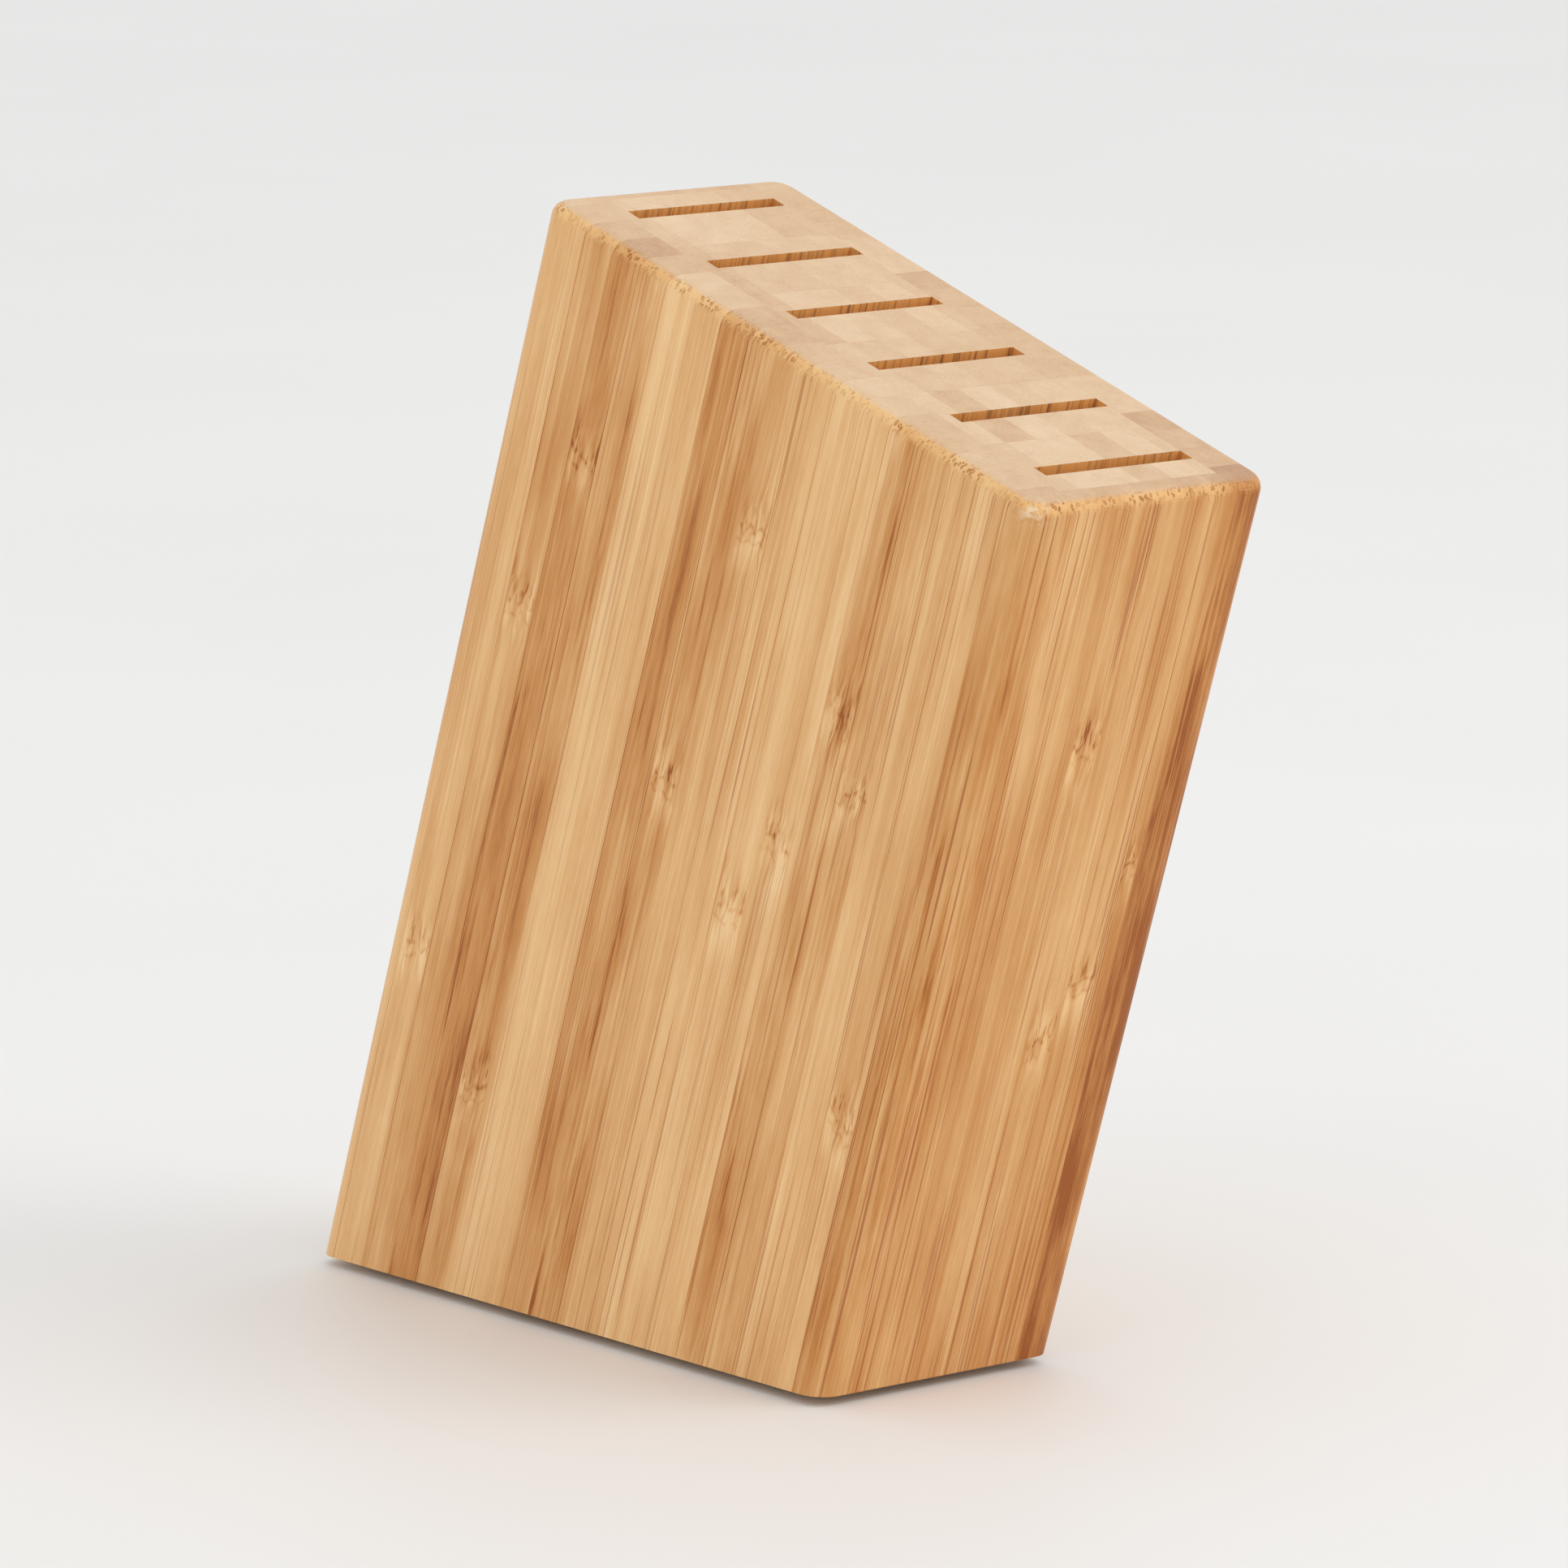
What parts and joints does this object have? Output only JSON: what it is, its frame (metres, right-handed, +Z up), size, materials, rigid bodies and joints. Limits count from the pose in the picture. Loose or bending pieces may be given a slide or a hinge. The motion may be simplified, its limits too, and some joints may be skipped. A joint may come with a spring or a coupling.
{
  "type": "knife block",
  "caption": "Slim laminated bamboo knife block that leans forward, with straight slots across its top for steak knives, standing on low rubber feet.",
  "frame": {"origin": "on the surface that the block stands on, centred under its bounding box", "axes": "+Z up; -Y to the front, the way the block leans; +X to the block's right as seen from the front"},
  "size_m": [0.0476, 0.161, 0.173],
  "materials": {
    "bamboo_light": "satin",
    "bamboo_mid": "satin",
    "bamboo_dark": "satin",
    "core_bamboo": "satin",
    "foot_rubber": "matte"
  },
  "bodies": {
    "root": {"left_panel_strip_01": "bamboo_dark", "left_panel_strip_02": "bamboo_mid", "left_panel_strip_03": "bamboo_light", "left_panel_strip_04": "bamboo_mid", "left_panel_strip_05": "bamboo_mid", "left_panel_strip_06": "bamboo_light", "left_panel_strip_07": "bamboo_light", "left_panel_strip_08": "bamboo_light", "left_panel_strip_09": "bamboo_light", "left_panel_strip_10": "bamboo_mid", "left_panel_strip_11": "bamboo_dark", "left_panel_strip_12": "bamboo_light", "left_panel_strip_13": "bamboo_light", "left_panel_strip_14": "bamboo_mid", "left_panel_strip_15": "bamboo_dark", "left_panel_strip_16": "bamboo_mid", "left_panel_strip_17": "bamboo_light", "left_panel_strip_18": "bamboo_light", "right_panel_strip_01": "bamboo_dark", "right_panel_strip_02": "bamboo_dark", "right_panel_strip_03": "bamboo_mid", "right_panel_strip_04": "bamboo_light", "right_panel_strip_05": "bamboo_light", "right_panel_strip_06": "bamboo_mid", "right_panel_strip_07": "bamboo_light", "right_panel_strip_08": "bamboo_light", "right_panel_strip_09": "bamboo_dark", "right_panel_strip_10": "bamboo_light", "right_panel_strip_11": "bamboo_light", "right_panel_strip_12": "bamboo_mid", "right_panel_strip_13": "bamboo_light", "right_panel_strip_14": "bamboo_light", "right_panel_strip_15": "bamboo_mid", "right_panel_strip_16": "bamboo_light", "right_panel_strip_17": "bamboo_light", "right_panel_strip_18": "bamboo_mid", "core_stave_01": "core_bamboo", "core_stave_02": "core_bamboo", "core_stave_03": "core_bamboo", "core_stave_04": "core_bamboo", "core_stave_05": "core_bamboo", "core_stave_06": "core_bamboo", "core_stave_07": "core_bamboo", "core_stave_08": "core_bamboo", "core_stave_09": "core_bamboo", "core_stave_10": "core_bamboo", "core_stave_11": "core_bamboo", "core_stave_12": "core_bamboo", "core_stave_13": "core_bamboo", "core_stave_14": "core_bamboo", "core_web_1": "core_bamboo", "core_web_2": "core_bamboo", "core_web_3": "core_bamboo", "core_web_4": "core_bamboo", "core_web_5": "core_bamboo", "core_web_6": "core_bamboo", "foot_front_left": "foot_rubber", "foot_front_right": "foot_rubber", "foot_back_left": "foot_rubber", "foot_back_right": "foot_rubber"}
  },
  "joints": []
}
